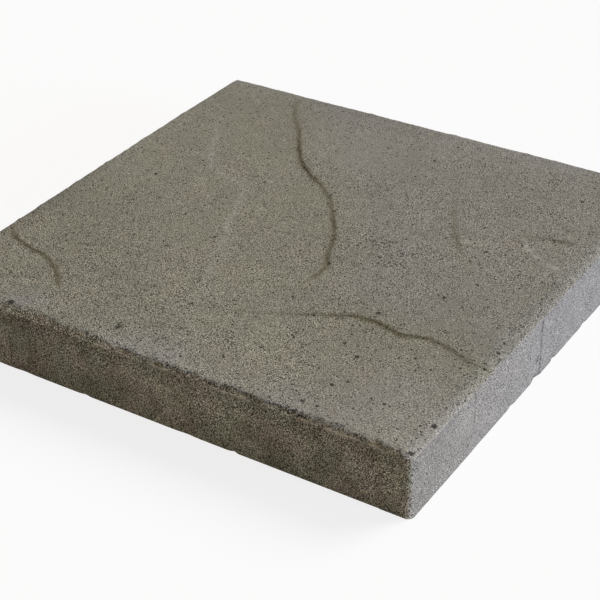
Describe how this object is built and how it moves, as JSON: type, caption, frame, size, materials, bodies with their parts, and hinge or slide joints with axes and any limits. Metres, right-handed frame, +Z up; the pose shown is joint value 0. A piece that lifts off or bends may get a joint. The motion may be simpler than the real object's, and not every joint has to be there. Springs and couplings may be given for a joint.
{
  "type": "paving slab",
  "caption": "Square precast concrete paving slab with a riven upper face, upright mould-cast sides and a flat base.",
  "frame": {"origin": "centre of the slab's base, on the surface it lies on", "axes": "+Z up through the thickness, towards the riven face; X and Y along the sides, -Y the front side that is in shade in the picture"},
  "size_m": [0.4, 0.4, 0.05],
  "materials": {
    "concrete": "grey-buff cast concrete, matt, with a riven upper face and grainy sides"
  },
  "bodies": {
    "root": {"paving_slab": "concrete"}
  },
  "joints": []
}
